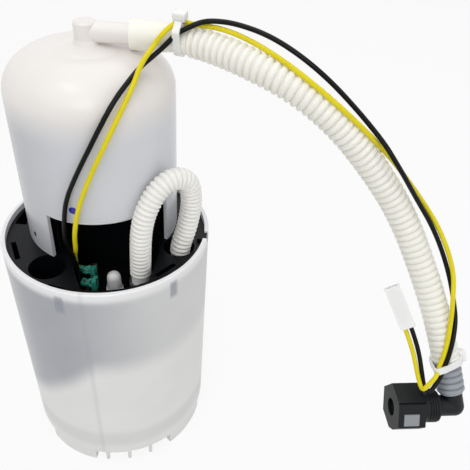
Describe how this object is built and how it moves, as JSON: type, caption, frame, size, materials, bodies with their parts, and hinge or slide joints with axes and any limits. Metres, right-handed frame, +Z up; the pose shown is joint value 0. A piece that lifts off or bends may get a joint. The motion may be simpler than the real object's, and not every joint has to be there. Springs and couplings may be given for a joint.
{
  "type": "in-tank fuel pump",
  "caption": "In-tank fuel pump module: reservoir bowl, pump carrier, domed fine filter, outlet hose with quick connector, and leads with a plug.",
  "frame": {"origin": "centre of the base that the bowl stands on, below the middle of the bowl", "axes": "+Z up along the bowl's axis, +X towards the side that the outlet hose leaves on, -Y towards the open pocket over the pump"},
  "size_m": [0.2717, 0.1448, 0.2873],
  "materials": {
    "milky_plastic": "translucent milky white moulding",
    "dome_plastic": "semi-gloss off-white moulding",
    "black_plastic": "black moulding with a faint sheen",
    "white_plastic": "plain white moulding",
    "cream_nylon": "cream nylon hose",
    "clear_plastic": "translucent white housing",
    "grey_plastic": "grey moulding",
    "black_rubber": "soft black rubber",
    "filter_paper": "resin-treated paper",
    "filter_cloth": "fine woven nylon",
    "plated_steel": "plated pressed steel",
    "bright_steel": "bright spring and stainless steel",
    "laminated_steel": "stacked laminations",
    "ferrite": "ferrite",
    "copper": "bare and lacquered copper",
    "brass": "tinned brass strip",
    "carbon": "pressed carbon",
    "green_lacquer": "lacquered brass receptacles",
    "black_lead": "black lead insulation",
    "yellow_lead": "yellow lead insulation",
    "bronze": "sintered bronze"
  },
  "bodies": {
    "pump_module": {"brush_springs": "bright_steel", "brushes": "carbon", "cable_tie_lower": "white_plastic", "cable_tie_upper": "white_plastic", "check_valve_spring": "bright_steel", "check_valve_stop": "white_plastic", "connector_body": "black_plastic", "connector_bush": "black_plastic", "connector_retainer": "grey_plastic", "connector_seals": "black_rubber", "connector_spacer": "white_plastic", "element_bottom_cap": "white_plastic", "element_top_cap": "white_plastic", "element_tube": "white_plastic", "field_magnets": "ferrite", "filter_base": "white_plastic", "filter_dome": "dome_plastic", "filter_element": "filter_paper", "jet_feed_hose": "cream_nylon", "jet_nozzle": "black_plastic", "jet_pump_body": "white_plastic", "lead_black": "black_lead", "lead_plug_contacts": "brass", "lead_plug_housing": "clear_plastic", "lead_yellow": "yellow_lead", "lower_bearing": "bronze", "lower_isolator": "black_rubber", "magnet_clips": "bright_steel", "main_hose": "cream_nylon", "neck_seal": "black_rubber", "pump_can": "plated_steel", "pump_carrier": "black_plastic", "pump_chamber": "grey_plastic", "pump_end_cover": "grey_plastic", "pump_hose_clamp": "plated_steel", "pump_inlet_cover": "grey_plastic", "pump_terminals": "brass", "relief_valve_cap": "white_plastic", "relief_valve_spring": "bright_steel", "reservoir_bowl": "milky_plastic", "rim_seal": "black_rubber", "riser_seal": "black_rubber", "short_hose": "cream_nylon", "socket_hose_clamp": "plated_steel", "strainer_mesh": "filter_cloth", "strainer_neck": "black_plastic", "terminal_crimps": "green_lacquer", "upper_bearing": "bronze", "upper_isolator": "black_rubber"},
    "rotor": {"rotor_shaft": "bright_steel", "armature_core": "laminated_steel", "armature_winding": "copper", "commutator": "copper", "impeller": "grey_plastic"},
    "check_poppet": {"check_valve_poppet": "white_plastic"},
    "relief_ball": {"relief_valve_ball": "bright_steel"},
    "foot_valve": {"foot_valve_disc": "black_rubber"},
    "button": {"release_button": "grey_plastic"}
  },
  "joints": [
    {"name": "rotor_spin", "type": "hinge", "parent": "pump_module", "child": "rotor", "pos_m": [0.0095, -0.0235, 0.08], "axis": [0, 0, 1], "continuous": true},
    {"name": "check_valve_lift", "type": "slide", "parent": "pump_module", "child": "check_poppet", "axis": [0, 0, 1], "range_m": [0, 0.0012], "stiffness_N_per_m": 40, "springref_m": -0.002, "deforming": ["check_valve_spring"]},
    {"name": "relief_valve_lift", "type": "slide", "parent": "pump_module", "child": "relief_ball", "axis": [0, 0, 1], "range_m": [0, 0.0012], "stiffness_N_per_m": 400, "springref_m": -0.004, "deforming": ["relief_valve_spring"]},
    {"name": "foot_valve_lift", "type": "slide", "parent": "pump_module", "child": "foot_valve", "axis": [0, 0, 1], "range_m": [0, 0.001]},
    {"name": "release_button_press", "type": "slide", "parent": "pump_module", "child": "button", "axis": [-0.0994, 0.8603, -0.5], "range_m": [0, 0.0022], "stiffness_N_per_m": 3000, "springref_m": -0.0003}
  ]
}
